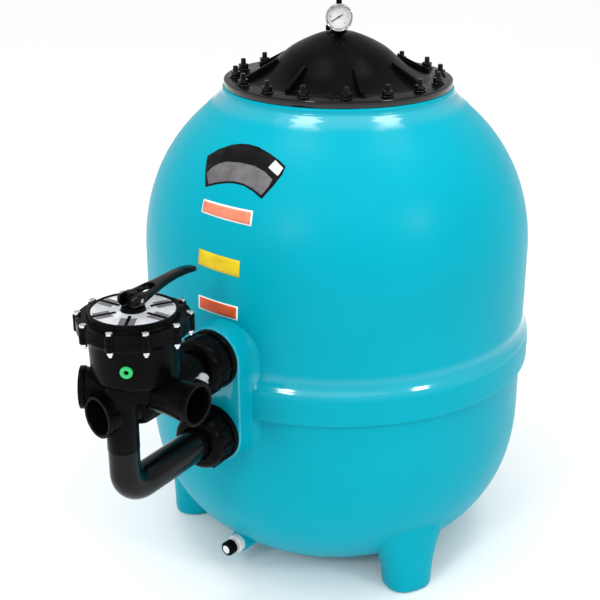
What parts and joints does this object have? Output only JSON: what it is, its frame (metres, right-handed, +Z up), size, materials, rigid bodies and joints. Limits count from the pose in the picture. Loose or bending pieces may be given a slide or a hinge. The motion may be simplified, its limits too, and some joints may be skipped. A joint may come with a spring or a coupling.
{
  "type": "pool sand filter",
  "caption": "Side-mount swimming-pool sand filter: moulded tank on three feet, bolted lid with gauge, selector valve with fork handle, unions and pipework.",
  "frame": {"origin": "on the floor under the middle of the outline, 139 mm in front of the tank's upright axis", "axes": "+Z up; -Y towards the selector valve and its pipes; +X to the right seen from the valve's side"},
  "size_m": [0.671, 0.9488, 0.95],
  "materials": {
    "tank_teal": "smooth moulded, slight sheen",
    "lid_black": "smooth moulded, glossy",
    "seal_rubber": "matte",
    "bolt_steel": "dark, satin",
    "moulding_black": "satin moulded",
    "gauge_metal": "satin",
    "gauge_chrome": "polished",
    "lens_clear": "clear",
    "dial_white": "matte",
    "needle_black": "matte",
    "plate_white": "smooth",
    "screw_steel": "bright zinc",
    "pipe_black": "glossy",
    "inner_plastic": "natural",
    "drain_white": "smooth"
  },
  "bodies": {
    "filter": {"tank_shell": "tank_teal", "lid": "lid_black", "lid_gasket": "seal_rubber", "lid_bolt_01": "bolt_steel", "lid_bolt_02": "bolt_steel", "lid_bolt_03": "bolt_steel", "lid_bolt_04": "bolt_steel", "lid_bolt_05": "bolt_steel", "lid_bolt_06": "bolt_steel", "lid_bolt_07": "bolt_steel", "lid_bolt_08": "bolt_steel", "lid_bolt_09": "bolt_steel", "lid_bolt_10": "bolt_steel", "lid_bolt_11": "bolt_steel", "lid_bolt_12": "bolt_steel", "lid_bolt_13": "bolt_steel", "lid_bolt_14": "bolt_steel", "lid_bolt_15": "bolt_steel", "lid_bolt_16": "bolt_steel", "gauge_column": "moulding_black", "gauge_case": "gauge_metal", "gauge_bezel": "gauge_chrome", "gauge_lens": "lens_clear", "gauge_dial": "dial_white", "valve_body": "moulding_black", "valve_cover": "moulding_black", "cover_seal": "seal_rubber", "position_plate": "plate_white", "cover_screw_01": "screw_steel", "cover_screw_02": "screw_steel", "cover_screw_03": "screw_steel", "cover_screw_04": "screw_steel", "cover_screw_05": "screw_steel", "cover_screw_06": "screw_steel", "cover_screw_07": "screw_steel", "cover_screw_08": "screw_steel", "cover_screw_09": "screw_steel", "cover_screw_10": "screw_steel", "spider_gasket": "seal_rubber", "sight_glass": "lens_clear", "upper_bulkhead": "moulding_black", "upper_lock_nut": "moulding_black", "lower_bulkhead": "moulding_black", "lower_lock_nut": "moulding_black", "lower_pipe": "pipe_black", "inlet_riser": "inner_plastic", "diffuser": "inner_plastic", "outlet_pipe": "inner_plastic", "collector": "inner_plastic", "drain_fitting": "moulding_black"},
    "selector": {"slip_washer": "inner_plastic", "rotor_spring": "screw_steel"},
    "rotor": {"valve_rotor": "moulding_black", "handle_pin": "screw_steel"},
    "handle": {"valve_handle": "moulding_black"},
    "needle": {"gauge_needle": "needle_black"},
    "bleed_screw": {"bleed_knob": "moulding_black"},
    "upper_nut": {"upper_union_nut": "moulding_black"},
    "lower_nut": {"lower_union_nut": "moulding_black"},
    "drain_plug": {"drain_cap": "drain_white"}
  },
  "joints": [
    {"name": "valve_turn", "type": "hinge", "parent": "filter", "child": "selector", "pos_m": [0, -0.39413, 0.5758], "axis": [0, 0, 1], "continuous": true},
    {"name": "rotor_lift", "type": "slide", "parent": "selector", "child": "rotor", "axis": [0, 0, 1], "range_m": [0, 0.0025], "deforming": ["rotor_spring"]},
    {"name": "handle_tilt", "type": "hinge", "parent": "rotor", "child": "handle", "pos_m": [0, -0.39413, 0.6089], "axis": [1, 0, 0], "range_deg": [-6, 0], "stiffness_Nm_per_rad": 4, "springref_deg": 8.59},
    {"name": "needle_turn", "type": "hinge", "parent": "filter", "child": "needle", "pos_m": [0, 0.13887, 0.919], "axis": [0.5299, -0.848, 0], "range_deg": [-270, 0], "stiffness_Nm_per_rad": 0.0005},
    {"name": "bleed_turn", "type": "hinge", "parent": "filter", "child": "bleed_screw", "pos_m": [0, 0.13887, 0.8985], "axis": [-0.848, -0.5299, 0], "continuous": true},
    {"name": "upper_nut_turn", "type": "hinge", "parent": "filter", "child": "upper_nut", "pos_m": [0, -0.25113, 0.452], "axis": [0, -1, 0], "continuous": true},
    {"name": "lower_nut_turn", "type": "hinge", "parent": "filter", "child": "lower_nut", "pos_m": [0, -0.25113, 0.327], "axis": [0, -1, 0], "continuous": true},
    {"name": "drain_cap_turn", "type": "hinge", "parent": "filter", "child": "drain_plug", "pos_m": [-0.03473, -0.14401, 0.058], "axis": [-0.1219, -0.9925, 0], "continuous": true}
  ],
  "couplings": [
    {"joint": "rotor_lift", "follows": "handle_tilt", "m_per_rad": -0.02387}
  ]
}
